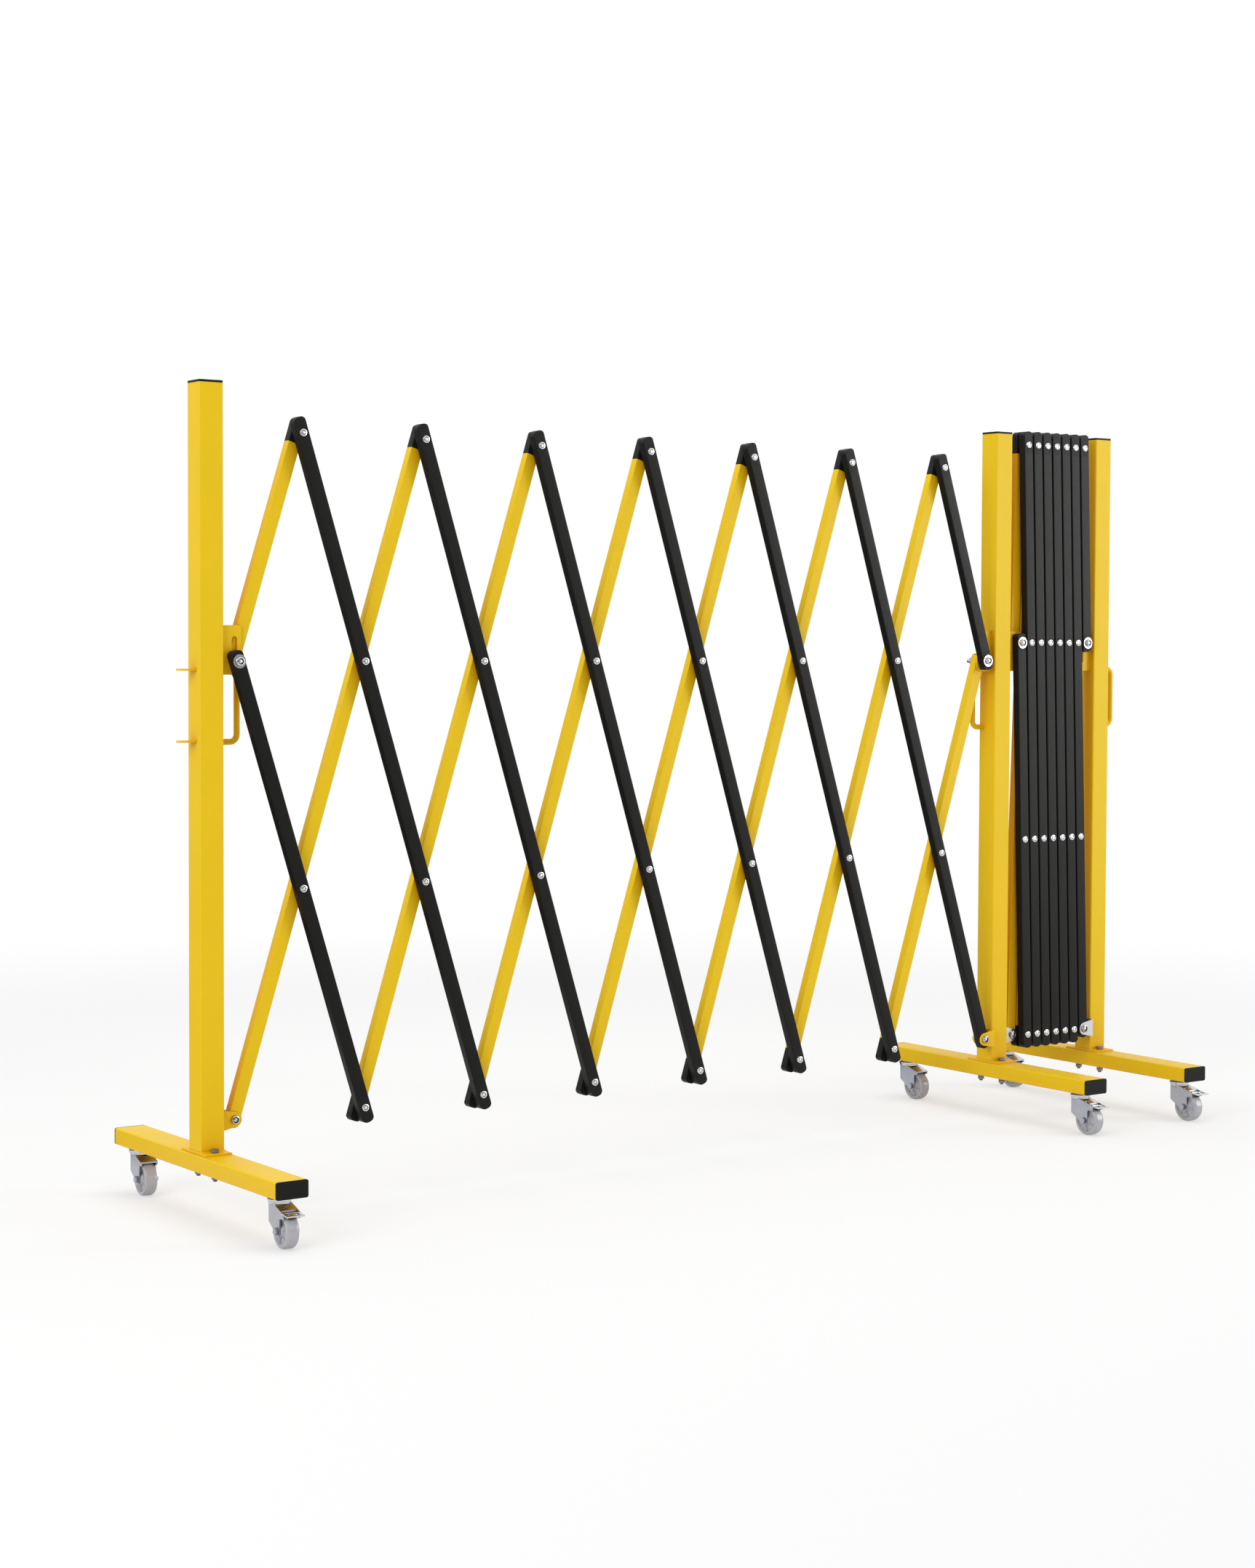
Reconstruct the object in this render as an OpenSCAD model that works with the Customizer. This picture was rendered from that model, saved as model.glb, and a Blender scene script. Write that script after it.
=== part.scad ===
// Expandable safety barrier: three posts on castor feet, joined by two riveted scissor lattices.
// The left span stands fully open and the right span stands folded.
// Millimetres. +Z is up, +X runs along the barrier, and the front of the barrier faces -Y.
// The lattice lies in two layers about its middle plane: black bars in front, yellow bars behind.

/* [Lattice] */
// Distance between neighbouring pivots along a bar
pivot_pitch = 346; // [320:1:350]
// Lean of the bars from upright in an open span
open_angle = 17.5; // [14:0.5:24]
// Lean of the bars from upright in a folded span
fold_angle = 1.9; // [1.9:0.1:3]
// Height of the lowest row of pivots above the floor
row_height = 139; // [136:1:150]
// Space between the black layer and the yellow layer
layer_gap = 4; // [3.8:0.1:6]

/* [Bars] */
// Width of a bar's front face
bar_w = 20.5; // [18:0.5:21.5]
// Thickness of a bar from front to back
bar_t = 14; // [12:0.5:14]
// Wall of a bar's tube
bar_wall = 1.2; // [1:0.1:1.6]
// Outside corner radius of a bar's tube
bar_corner = 1.6; // [1.6:0.1:3]
// Radius of the round end of a bar without a cap, about its pivot
bare_round = 12.5; // [11:0.5:14]

/* [Bar end caps] */
// How far an end cap reaches past its pivot
end_cap_reach = 23.5; // [20:0.5:24]
// How far a black bar's end cap reaches past a pivot that a post holds
post_cap_reach = 16; // [14:0.5:20]
// Pivot to the seam where the cap meets its tube
end_cap_seam = 14.5; // [12:0.5:20]
// Length of the cap's spigot in the tube
end_cap_spigot = 18; // [10:1:30]
// Radius of an end cap's two outer corners
end_cap_round = 8.5; // [4:0.5:9]

/* [Rivets and bolts] */
// Shank diameter of a lattice rivet
rivet_d = 6; // [5:0.5:7]
// Diameter of a rivet's factory head
rivet_head_d = 12; // [11:0.5:13]
// Height of a rivet's factory head
rivet_head_h = 2; // [1.5:0.1:2.4]
// Diameter of a rivet's set tail
rivet_tail_d = 10; // [9:0.5:11]
// Height of a rivet's set tail
rivet_tail_h = 1.6; // [1.2:0.1:2]
// Diameter of the spacer washer between two crossing bars
spacer_d = 14; // [13:0.5:16]
// Shank diameter of the bolts that hold the lattice to a post
bolt_d = 8; // [7:0.5:8]
// Diameter of those bolts' button heads
bolt_head_d = 13.5; // [13:0.5:15]
// Height of those bolts' button heads
bolt_head_h = 4; // [3:0.5:5]
// Diameter of the plain washers on a slide bolt
washer_d = 20; // [18:0.5:21]
// Thickness of those washers
washer_t = 1.6; // [1.2:0.1:2]
// Width across the flats of those bolts' nuts
nut_af = 13; // [12.5:0.5:14]
// Height of those bolts' nuts
nut_h = 6.5; // [5:0.5:8]
// Thread that stands out past a clevis bolt's nut
thread_end = 3; // [1:0.5:5]
// Thread that stands out past a slide bolt's nut
slide_thread = 8; // [3:0.5:10]

/* [Posts] */
// Width of the square post tube
post_w = 38; // [36:0.5:40]
// Wall of the post tube
post_wall = 2; // [1.5:0.1:3]
// Outside corner radius of the post tube
post_corner = 2.5; // [2:0.1:2.5]
// Height of the top of a post's cap above the floor
post_top = 1197; // [1180:1:1220]
// Post face to the nearest column of pivots
pivot_offset = 22; // [21:0.5:26]
// How far a post's front face stands in front of the lattice's middle plane
post_lead = 11; // [9:0.5:12]
// Height of a post cap's rim
post_cap_h = 3.5; // [3:0.5:6]
// Length of the spigots that hold the caps in their tubes
spigot_len = 12; // [8:1:20]

/* [Slide brackets] */
// Thickness of a bracket's steel plate
plate_t = 2.2; // [2:0.1:2.2]
// Plate above the middle of the slot's top end
slide_over = 20; // [16:0.5:24]
// Plate below the middle of the slot's bottom end
slide_under = 18; // [16:0.5:20]
// Plate past the slot's middle line
slide_past = 11; // [9:0.5:12]
// Radius of the plate's lower free corner
plate_round = 8.5; // [4:0.5:9]

/* [Clevis brackets] */
// Height of a clevis ear where it meets its web
ear_h = 31; // [26:1:34]
// Radius of a clevis ear's nose
ear_nose = 11; // [9:0.5:13]
// How far a clevis ear's web is welded along the post face
web_t = 2.4; // [2:0.1:3]

/* [Handles and joining tabs] */
// Diameter of a handle's rod
handle_d = 9; // [7:0.5:9]
// Post face to the middle of a grip, on the two end posts
handle_out = 37; // [28:1:40]
// Post face to the middle of the grip on the middle post
middle_handle_out = 22; // [20:1:30]
// Height of a handle's lower leg above the floor
handle_low = 683; // [600:1:685]
// Middle of a handle's lower leg to the middle of its upper leg
handle_grip = 101; // [80:1:101]
// Bend radius on the rod's middle line
handle_bend = 11; // [8:1:16]
// Lattice's middle plane to the middle of a handle
handle_back = 21; // [21:0.25:22]
// Reach of a joining tab from the post face
tab_len = 27; // [24:1:40]
// Width of a joining tab
tab_w = 17; // [15:0.5:22]
// Thickness of a joining tab
tab_t = 3; // [2:0.5:5]
// Diameter of the link pin's hole in a joining tab
tab_hole_d = 9; // [6:0.5:9]
// Height of the lower joining tab's middle above the floor
tab_low = 685; // [600:1:720]
// Lower joining tab's middle to the upper joining tab's middle
tab_gap = 102; // [60:1:140]

/* [Feet] */
// Width of a foot tube
foot_w = 50; // [46:1:60]
// Height of a foot tube
foot_h = 25; // [22:1:30]
// Wall of a foot tube
foot_wall = 2; // [1.5:0.1:3]
// Outside corner radius of a foot tube
foot_corner = 3; // [2.2:0.1:3]
// Foot tube in front of the post's middle
foot_front = 250; // [240:1:300]
// Foot tube behind the post's middle
foot_rear = 250; // [220:1:300]
// Thickness of the plug showing at a foot's end
plug_t = 2.5; // [2:0.5:5]
// How far a post's flange plate stands out past the post's sides
flange_lip = 2; // [1:0.5:3]
// How far the flange plate runs past a flange bolt's middle
flange_end = 12; // [10:1:16]
// Thickness of a post's flange plate
flange_t = 3; // [3:0.5:6]
// Post face to the middle of a flange bolt
flange_bolt_out = 7; // [6.5:0.5:9]
// Shank diameter of a flange bolt
flange_bolt_d = 6; // [5:0.5:6]
// Width across the flats of a flange bolt's head and nut
flange_nut_af = 10; // [9:0.5:10]
// Height of a flange bolt's head and nut
flange_nut_h = 5; // [4:0.5:6]
// Thread under a flange bolt's nut
flange_thread = 8; // [2:1:10]

/* [Castors] */
// Diameter of a wheel
wheel_d = 50; // [46:1:50]
// Width of a wheel's tread
wheel_w = 20; // [16:1:20]
// Width of a wheel's hub
hub_w = 22; // [20.5:0.5:24]
// Diameter of a wheel's axle
axle_d = 8; // [6:0.5:9]
// Floor to the underside of the foot
castor_h = 70; // [69:1:80]
// Foot's end to the castor's swivel axis
stem_inset = 34; // [30:1:60]
// Swivel axis to the wheel's axle
trail = 22; // [21:0.5:23]
// Thickness of the fork's plate
fork_t = 2.2; // [1.8:0.1:2.5]
// Height of the top of the fork's crown above the floor
crown_z = 61; // [60:0.5:62]
// How far the fork's top edge falls from the ball race to its front
crown_drop = 8.5; // [7:0.5:9]
// Diameter of the swivel's ball race
race_d = 34; // [32:1:38]
// Height of the ball race
race_h = 5; // [4:0.5:6]
// Diameter of the collar over the ball race
collar_d = 30; // [20:1:32]
// Diameter of the swivel stem
stem_d = 10; // [8:0.5:12]
// Swivel axis to the back edge of the fork
fork_back = 12; // [11.5:0.5:14]
// Outside bend radius at the fork's back
fork_bend = 7; // [4:0.5:9]
// Radius of the notch between the fork's leg and its front corner
fork_notch = 4; // [2:0.5:6]
// Swivel axis to the front edge of the fork's top
fork_front = 36; // [35:0.5:37]
// Radius of the fork leg's end round the axle
fork_boss = 7.5; // [7:0.5:9]
// Swivel axis to the brake pedal's pin
pedal_pin_out = 37; // [36:0.5:38]
// Height of the brake pedal's pin above the floor
pedal_pin_z = 50; // [49.5:0.25:51]
// Diameter of the brake pedal's pin
pedal_pin_d = 3; // [2.5:0.5:3]
// Swivel axis to the brake pedal's tip
pedal_tip = 55; // [52:1:60]
// Width of the brake pedal's tread plate
pedal_w = 27; // [24:1:32]
// Thickness of the brake pedal's plate
pedal_t = 1.8; // [1.5:0.1:2]
// How far the left post's castors stand turned from straight, seen from above
left_castor_turn = 5; // [0:1:10]

/* [Hidden] */
// Half pitches across a span, and the lattice's top row of pivots and its sliding row
columns = 14;
top_row = 3;
slide_row = 2;
bars_per_layer = 8;
// Clearances: a turning fit's radius, a seated face, a plug in its tube, and a moving face
fit = 0.05;
seat = 0.1;
plug_fit = 0.1;
run_gap = 0.3;
bolt_hole_fit = 0.3;
// Overrun of every cut, and how far a welded piece runs into its post's wall
cut = 1;
weld_in = 1;
// Steps in a rounded corner
corner_steps = 3;
round_steps = 5;
$fn = 48;

YELLOW = [0.93, 0.74, 0.10];
BLACK = [0.10, 0.10, 0.10];
ZINC = [0.78, 0.79, 0.81];
GREY = [0.66, 0.67, 0.70];

// Lattice geometry
span_lean = [open_angle, fold_angle];
function half_pitch(lean) = pivot_pitch * sin(lean);
function row_gap(lean) = pivot_pitch * cos(lean);
function span_width(lean) = columns * half_pitch(lean) + 2 * pivot_offset;
slide_low = row_height + slide_row * row_gap(open_angle);
slide_travel = slide_row * (row_gap(fold_angle) - row_gap(open_angle));
layer_back = layer_gap / 2 + bar_t;
bar_inner_w = bar_w - 2 * bar_wall;
bar_inner_t = bar_t - 2 * bar_wall;

// Places of the posts, counted from the left post's middle
post_x = [0, post_w + span_width(open_angle), 2 * post_w + span_width(open_angle) + span_width(fold_angle)];
span_x = [for (s = [0 : 1]) post_x[s] + post_w / 2 + pivot_offset];
post_y = post_w / 2 - post_lead;
foot_top = castor_h + foot_h;
front_stem = post_y - foot_front + stem_inset;
rear_stem = post_y + foot_rear - stem_inset;
flange_w = post_w + 2 * flange_lip;
flange_bolt_gap = post_w + 2 * flange_bolt_out;
flange_len = flange_bolt_gap + 2 * flange_end;

// Middle of the whole object's footprint, which becomes the origin
x_low = -post_w / 2 - tab_len;
x_high = post_x[2] + post_w / 2 + handle_out + handle_d / 2;
y_low = front_stem - pedal_tip * cos(left_castor_turn) - pedal_w / 2 * sin(left_castor_turn);
y_high = post_y + foot_rear + plug_t;
middle = [(x_low + x_high) / 2, (y_low + y_high) / 2, 0];

// Names
spans = ["left", "right"];
layers = ["black", "yellow"];
posts = ["left", "middle", "right"];
ends = ["front", "rear"];
function bar_name(s, layer, k) = str(spans[s], "_", layers[layer], "_bar_", k + 1);

// Outlines

// Points of an arc round a centre
function arc(centre, r, from, to, steps) =
    [for (i = [0 : steps]) let (a = from + (to - from) * i / steps) centre + r * [cos(a), sin(a)]];

module rounded_rect(w, d, r) {
    polygon([for (q = [0 : 3])
        each arc([(q == 0 || q == 3 ? 1 : -1) * (w / 2 - r), (q < 2 ? 1 : -1) * (d / 2 - r)],
            r, 90 * q, 90 * q + 90, corner_steps)]);
}

// Draws an upright outline: its X stays X, its Y becomes height, and it is t thick from y on
module upright(y, t) {
    translate([0, y + t, 0]) rotate([90, 0, 0]) linear_extrude(t) children();
}

// Draws a side outline: its X becomes Y, its Y becomes height, and it is w wide about x
module side_on(x, w) {
    translate([x - w / 2, 0, 0]) rotate([90, 0, 90]) linear_extrude(w) children();
}

// A round bar along Y from y0 to y1
module rod_y(d, y0, y1, sides = $fn) {
    translate([0, y0, 0]) rotate([-90, 0, 0]) cylinder(d = d, h = y1 - y0, $fn = sides);
}

module rod_x(d, x0, x1) {
    translate([x0, 0, 0]) rotate([0, 90, 0]) cylinder(d = d, h = x1 - x0);
}

// Turns a profile of [radius, place along the axis] points about the Y axis
module turned_y(points) {
    rotate([-90, 0, 0]) rotate_extrude() polygon(points);
}

// Fasteners, all along Y with their heads in front

module ring_y(outer, inner, y0, y1) {
    difference() {
        rod_y(outer, y0, y1);
        rod_y(inner, y0 - cut, y1 + cut);
    }
}

// A head with a raised rim, from y back to y - h, as points that end on the shank
dome_shares = [[0, 0.7], [0.42, 0.6], [0.58, 0.25], [0.68, 1], [0.88, 0.85], [1, 0]];
function dome(d, h, y) = [for (p = dome_shares) [p[0] * d / 2, y - p[1] * h]];

module rivet() {
    front = -layer_back - seat;
    back = layer_back + seat;
    turned_y(concat(dome(rivet_head_d, rivet_head_h, front), [
        [rivet_d / 2, front],
        [rivet_d / 2, back],
        [rivet_tail_d / 2, back],
        [rivet_tail_d / 2, back + rivet_tail_h / 2],
        [rivet_d / 2, back + rivet_tail_h],
        [0, back + rivet_tail_h]
    ]));
}

// The washer that keeps two crossing bars apart
module spacer() {
    half = layer_gap / 2 - run_gap;
    ring_y(spacer_d, rivet_d + 2 * fit, -half, half);
}

module bolt(front, back, thread) {
    tail = back + 2 * seat + nut_h + thread;
    turned_y(concat(dome(bolt_head_d, bolt_head_h, front), [
        [bolt_d / 2, front], [bolt_d / 2, tail], [0, tail]
    ]));
    nut(back + seat);
}

module nut(y) {
    difference() {
        rod_y(nut_af / cos(30), y, y + nut_h, 6);
        rod_y(bolt_d + 2 * fit, y - cut, y + nut_h + cut);
    }
}

// The bolt that slides in a slide bracket: head, two washers, both bars between them and a nut
module slide_bolt() {
    face = layer_back + seat;
    for (y = [-face - washer_t, face]) ring_y(washer_d, bolt_d + 2 * fit, y, y + washer_t);
    bolt(-face - washer_t - seat, face + washer_t, slide_thread);
}

// Lattice bars, drawn upright with their lowest pivot at the origin

// Square tube between its caps, from low to high. A bar without a low cap ends round its pivot.
module bar_tube(low, high, holes, bare_low, bare_high) {
    top = (len(holes) - 1) * pivot_pitch;
    difference() {
        intersection() {
            translate([0, 0, low]) linear_extrude(high - low) rounded_rect(bar_w, bar_t, bar_corner);
            union() {
                if (bare_low) rod_y(2 * bare_round, -bar_t, bar_t);
                if (bare_high) translate([0, 0, top]) rod_y(2 * bare_round, -bar_t, bar_t);
                translate([-bar_w, -bar_t, max(low, 0)])
                    cube([2 * bar_w, 2 * bar_t, min(high, top) - max(low, 0)]);
            }
        }
        translate([0, 0, low - cut]) linear_extrude(high - low + 2 * cut)
            rounded_rect(bar_inner_w, bar_inner_t, bar_corner - bar_wall);
        for (i = [0 : len(holes) - 1]) if (i * pivot_pitch > low && i * pivot_pitch < high)
            translate([0, 0, i * pivot_pitch]) rod_y(holes[i], -bar_t, bar_t);
    }
}

// A moulded cap that continues a tube past its lowest pivot, with a rounded nose and a spigot in the tube
module end_cap(hole, reach) {
    nose = [bar_w / 2 - end_cap_round, end_cap_round - reach];
    difference() {
        union() {
            intersection() {
                upright(-bar_t / 2, bar_t) polygon(concat(
                    [[bar_w / 2, end_cap_seam], [-bar_w / 2, end_cap_seam]],
                    arc([-nose[0], nose[1]], end_cap_round, 180, 270, round_steps),
                    arc(nose, end_cap_round, 270, 360, round_steps)
                ));
                translate([0, 0, -reach - cut]) linear_extrude(reach + end_cap_seam + 2 * cut)
                    rounded_rect(bar_w, bar_t, bar_corner);
            }
            translate([0, 0, end_cap_seam - cut]) linear_extrude(end_cap_spigot + cut)
                rounded_rect(bar_inner_w - 2 * plug_fit, bar_inner_t - 2 * plug_fit, bar_corner - bar_wall);
        }
        rod_y(hole, -bar_t, bar_t);
    }
}

// Column in which a bar meets a row: black bars lean left and yellow bars lean right
function column(layer, k, row) = layer == 0 ? 2 * k + 2 - row : 2 * k - 2 + row;
function low_row(layer, k) = layer == 0 ? max(0, 2 * k + 2 - columns) : max(0, 2 - 2 * k);
function high_row(layer, k) = layer == 0 ? min(top_row, 2 * k + 2) : min(top_row, columns + 2 - 2 * k);
function at_post(column) = column == 0 || column == columns;
// A yellow bar that ends at a post has no cap there
function is_capped(layer, k, row) = layer == 0 || !at_post(column(layer, k, row));
function cap_reach(k, row) = at_post(column(0, k, row)) ? post_cap_reach : end_cap_reach;

module lattice_bar(s, layer, k) {
    lean = span_lean[s];
    low = low_row(layer, k);
    high = high_row(layer, k);
    holes = [for (r = [low : high]) (at_post(column(layer, k, r)) ? bolt_d : rivet_d) + 2 * fit];
    foot = [span_x[s] + column(layer, k, low) * half_pitch(lean), 0, row_height + low * row_gap(lean)];
    top = (high - low) * pivot_pitch;
    cap_low = is_capped(layer, k, low);
    cap_high = is_capped(layer, k, high);
    tube_low = cap_low ? end_cap_seam + seat : -bare_round;
    tube_high = top - (cap_high ? end_cap_seam + seat : -bare_round);
    translate(foot - middle) rotate([0, layer == 0 ? -lean : lean, 0]) {
        translate([0, (layer == 0 ? -1 : 1) * (layer_gap + bar_t) / 2, 0]) {
            color(layer == 0 ? BLACK : YELLOW) bar_tube(tube_low, tube_high, holes, !cap_low, !cap_high);
            if (cap_low) color(BLACK) end_cap(holes[0], layer == 0 ? cap_reach(k, low) : end_cap_reach);
            if (cap_high) color(BLACK) translate([0, 0, top]) mirror([0, 0, 1])
                end_cap(holes[high - low], layer == 0 ? cap_reach(k, high) : end_cap_reach);
        }
        if (layer == 0) color(ZINC) for (r = [low : high]) translate([0, 0, (r - low) * pivot_pitch])
            lattice_fastener(r, at_post(column(layer, k, r)));
    }
}

// Every crossing has a rivet and a spacer. A sliding pivot has a bolt, and a fixed one is held by its post.
module lattice_fastener(row, held) {
    if (!held) {
        rivet();
        spacer();
    }
    if (held && row == slide_row) slide_bolt();
}

// Posts

// Draws a piece at a post's right face, or mirrored at its left face, with X counted from the pivots
module at_side(p, side, z) {
    translate([post_x[p], 0, z] - middle)
        scale_side(side) translate([post_w / 2 + pivot_offset, 0, 0]) children();
}

module scale_side(side) {
    if (side > 0) children();
    else mirror([1, 0, 0]) children();
}

module slide_bracket() {
    slot_w = bolt_d + 2 * bolt_hole_fit;
    high = slide_travel + slide_over;
    difference() {
        upright(-plate_t / 2, plate_t) polygon(concat(
            [[-pivot_offset - weld_in, high], [-pivot_offset - weld_in, -slide_under]],
            arc([slide_past - plate_round, plate_round - slide_under], plate_round, 270, 360, round_steps),
            [[slide_past, high]]
        ));
        rod_y(slot_w, -cut - plate_t, plate_t + cut);
        translate([0, 0, slide_travel]) rod_y(slot_w, -cut - plate_t, plate_t + cut);
        translate([-slot_w / 2, -cut - plate_t, 0]) cube([slot_w, 2 * (cut + plate_t), slide_travel]);
    }
}

// A pressed clevis round the black bar, in front of the middle plane, or the yellow bar, behind it.
// Its web stands on the post's face, or runs into it by root.
module clevis(layer, root = 0) {
    front = clevis_front(layer);
    back = clevis_back(layer) - plate_t;
    difference() {
        union() {
            for (y = [front, back]) {
                upright(y, plate_t) polygon([
                    [-pivot_offset - root, ear_h / 2], [-pivot_offset - root, -ear_h / 2],
                    [0, -ear_nose], [0, ear_nose]
                ]);
                rod_y(2 * ear_nose, y, y + plate_t);
            }
            translate([-pivot_offset - root, front, -ear_h / 2])
                cube([web_t + root, back + plate_t - front, ear_h]);
        }
        rod_y(bolt_d + 2 * fit, front - cut, back + plate_t + cut);
    }
}

function clevis_front(layer) = (layer == 0 ? -layer_back : layer_gap / 2) - run_gap - plate_t;
function clevis_back(layer) = clevis_front(layer) + bar_t + 2 * run_gap + 2 * plate_t;

// A rod bent into a U, standing out of a post face by reach
module handle(reach) {
    color(YELLOW) translate([-pivot_offset, handle_back, 0]) {
        for (up = [0, 1]) translate([0, 0, up * handle_grip]) mirror([0, 0, up]) {
            rod_x(handle_d, -weld_in, reach - handle_bend);
            translate([reach - handle_bend, 0, handle_bend]) rotate([90, 0, 0]) rotate([0, 0, -90])
                rotate_extrude(angle = 90) translate([handle_bend, 0]) circle(d = handle_d);
        }
        translate([reach, 0, handle_bend]) cylinder(d = handle_d, h = handle_grip - 2 * handle_bend);
    }
}

// A flat tab with a hole for the pin that links this barrier to the next
module joining_tab() {
    nose = tab_w / 2;
    difference() {
        translate([0, 0, -tab_t / 2]) union() {
            translate([-weld_in, -nose, 0]) cube([tab_len - nose + weld_in, tab_w, tab_t]);
            translate([tab_len - nose, 0, 0]) cylinder(r = nose, h = tab_t);
        }
        translate([tab_len - nose, 0, -tab_t]) cylinder(d = tab_hole_d, h = 2 * tab_t);
    }
}

module post(p) {
    base = foot_top + flange_t;
    tube_h = post_top - post_cap_h - base;
    color(YELLOW) union() {
        translate([post_x[p], post_y, 0] - middle) {
            difference() {
                union() {
                    translate([0, 0, base]) linear_extrude(tube_h)
                        rounded_rect(post_w, post_w, post_corner);
                    translate([-flange_w / 2, -flange_len / 2, foot_top])
                        cube([flange_w, flange_len, flange_t]);
                }
                translate([0, 0, base]) linear_extrude(tube_h + cut)
                    rounded_rect(post_w - 2 * post_wall, post_w - 2 * post_wall, post_corner - post_wall);
                for (y = [-1, 1]) translate([0, y * flange_bolt_gap / 2, foot_top - cut])
                    cylinder(d = flange_bolt_d + 2 * bolt_hole_fit, h = flange_t + 2 * cut);
            }
            if (p == 0) for (z = [tab_low, tab_low + tab_gap])
                mirror([1, 0, 0]) translate([post_w / 2, 0, z]) joining_tab();
        }
        if (p < 2) at_side(p, 1, slide_low) slide_bracket();
        if (p > 0) at_side(p, -1, slide_low) slide_bracket();
        if (p == 0) at_side(p, 1, row_height) clevis(1, weld_in);
        if (p == 1) at_side(p, -1, row_height) clevis(0, weld_in);
        at_side(p, p == 1 ? -1 : 1, handle_low) handle(p == 1 ? middle_handle_out : handle_out);
    }
}

// Feet

module foot(p) {
    color(YELLOW) translate([post_x[p], 0, castor_h + foot_h / 2] - middle) difference() {
        union() {
            difference() {
                upright(post_y - foot_front, foot_front + foot_rear)
                    rounded_rect(foot_w, foot_h, foot_corner);
                upright(post_y - foot_front - cut, foot_front + foot_rear + 2 * cut)
                    rounded_rect(foot_w - 2 * foot_wall, foot_h - 2 * foot_wall, foot_corner - foot_wall);
            }
            // Threaded bushes that take the castors' stems
            for (y = [front_stem, rear_stem]) translate([0, y, -foot_h / 2 + foot_wall / 2])
                cylinder(d = stem_d + 4 * foot_wall, h = foot_h - foot_wall);
        }
        for (y = [front_stem, rear_stem]) translate([0, y, -foot_h / 2 - cut])
            cylinder(d = stem_d + 2 * fit, h = foot_h - foot_wall + cut);
        for (y = [-1, 1]) translate([0, post_y + y * flange_bolt_gap / 2, -foot_h])
            cylinder(d = flange_bolt_d + 2 * bolt_hole_fit, h = 2 * foot_h);
    }
}

// The black plugs in the post's top and the foot's two ends
module plug(w, d, r, wall, rim) {
    linear_extrude(rim) rounded_rect(w, d, r);
    translate([0, 0, -spigot_len]) linear_extrude(spigot_len)
        rounded_rect(w - 2 * wall - 2 * plug_fit, d - 2 * wall - 2 * plug_fit, r - wall);
}

module caps(p) {
    color(BLACK) translate([post_x[p], post_y, 0] - middle) {
        translate([0, 0, post_top - post_cap_h]) plug(post_w, post_w, post_corner, post_wall, post_cap_h);
        translate([0, -foot_front, castor_h + foot_h / 2]) rotate([90, 0, 0])
            plug(foot_w, foot_h, foot_corner, foot_wall, plug_t);
        translate([0, foot_rear, castor_h + foot_h / 2]) rotate([-90, 0, 0])
            plug(foot_w, foot_h, foot_corner, foot_wall, plug_t);
    }
}

// A bolt down through the flange and the foot, with its nut below
module flange_bolt() {
    head = foot_top + flange_t + seat;
    under = castor_h - seat - flange_nut_h;
    translate([0, 0, head]) cylinder(d = flange_nut_af / cos(30), h = flange_nut_h, $fn = 6);
    translate([0, 0, under - flange_thread])
        cylinder(d = flange_bolt_d, h = head - under + flange_thread + cut);
    difference() {
        translate([0, 0, under]) cylinder(d = flange_nut_af / cos(30), h = flange_nut_h, $fn = 6);
        translate([0, 0, under - cut]) cylinder(d = flange_bolt_d + 2 * fit, h = flange_nut_h + 2 * cut);
    }
}

// The stem on which a castor swivels: its collar under the foot and its head under the fork's crown
module swivel_stem() {
    crown_under = crown_z - fork_t;
    rotate_extrude() polygon([
        [0, crown_under - run_gap - fork_t], [race_d / 4, crown_under - run_gap - fork_t],
        [race_d / 4, crown_under - run_gap], [stem_d / 2, crown_under - run_gap],
        [stem_d / 2, crown_z + race_h + run_gap], [collar_d / 2, crown_z + race_h + run_gap],
        [collar_d / 2, castor_h - seat], [stem_d / 2, castor_h - seat],
        [stem_d / 2, foot_top - foot_wall - cut], [0, foot_top - foot_wall - cut]
    ]);
}

module fixings(p) {
    color(ZINC) {
        translate([post_x[p], 0, 0] - middle) {
            for (y = [-1, 1]) translate([0, post_y + y * flange_bolt_gap / 2, 0]) flange_bolt();
            for (y = [front_stem, rear_stem]) translate([0, y, 0]) swivel_stem();
        }
        if (p < 2) at_side(p, 1, row_height) bolt(clevis_front(1) - seat, clevis_back(1), thread_end);
        if (p > 0) at_side(p, -1, row_height) bolt(clevis_front(0) - seat, clevis_back(0), thread_end);
        if (p == 1) at_side(p, 1, row_height) clevis(1);
        if (p == 2) at_side(p, -1, row_height) clevis(0);
    }
}

// Castors, drawn with the swivel axis on Z and the wheel trailing towards -Y

function castor_turn(p) = p == 0 ? -left_castor_turn : 0;

module at_castor(p, e) {
    translate([post_x[p], e == 0 ? front_stem : rear_stem, 0] - middle)
        rotate([0, 0, castor_turn(p)]) children();
}

fork_in = hub_w / 2 + run_gap;
fork_out = fork_in + fork_t;
axle_bolt_d = axle_d - 2;

// The fork leg's outline as [Y, height] points, with the front edge given
waist_share = 0.62;
function leg_outline(front, front_z) = concat([
        [fork_back, crown_z], [-race_d / 4, crown_z], [-front, crown_z - crown_drop], [-front, front_z]
    ],
    arc([-trail - fork_boss - fork_notch, front_z - fork_notch], fork_notch, 90, 0, corner_steps),
    arc([-trail, wheel_d / 2], fork_boss, 180, 330, 2 * round_steps),
    [[fork_back, waist_share * crown_z]]
);

// Seen from above, a channel from the fork's back past its front, with its two back corners bent round
module channel(half_w, back, bend, height) {
    linear_extrude(height) polygon(concat(
        arc([half_w - bend, back - bend], bend, 0, 90, round_steps),
        arc([bend - half_w, back - bend], bend, 90, 180, round_steps),
        [[-half_w, -pedal_tip], [half_w, -pedal_tip]]
    ));
}

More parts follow.
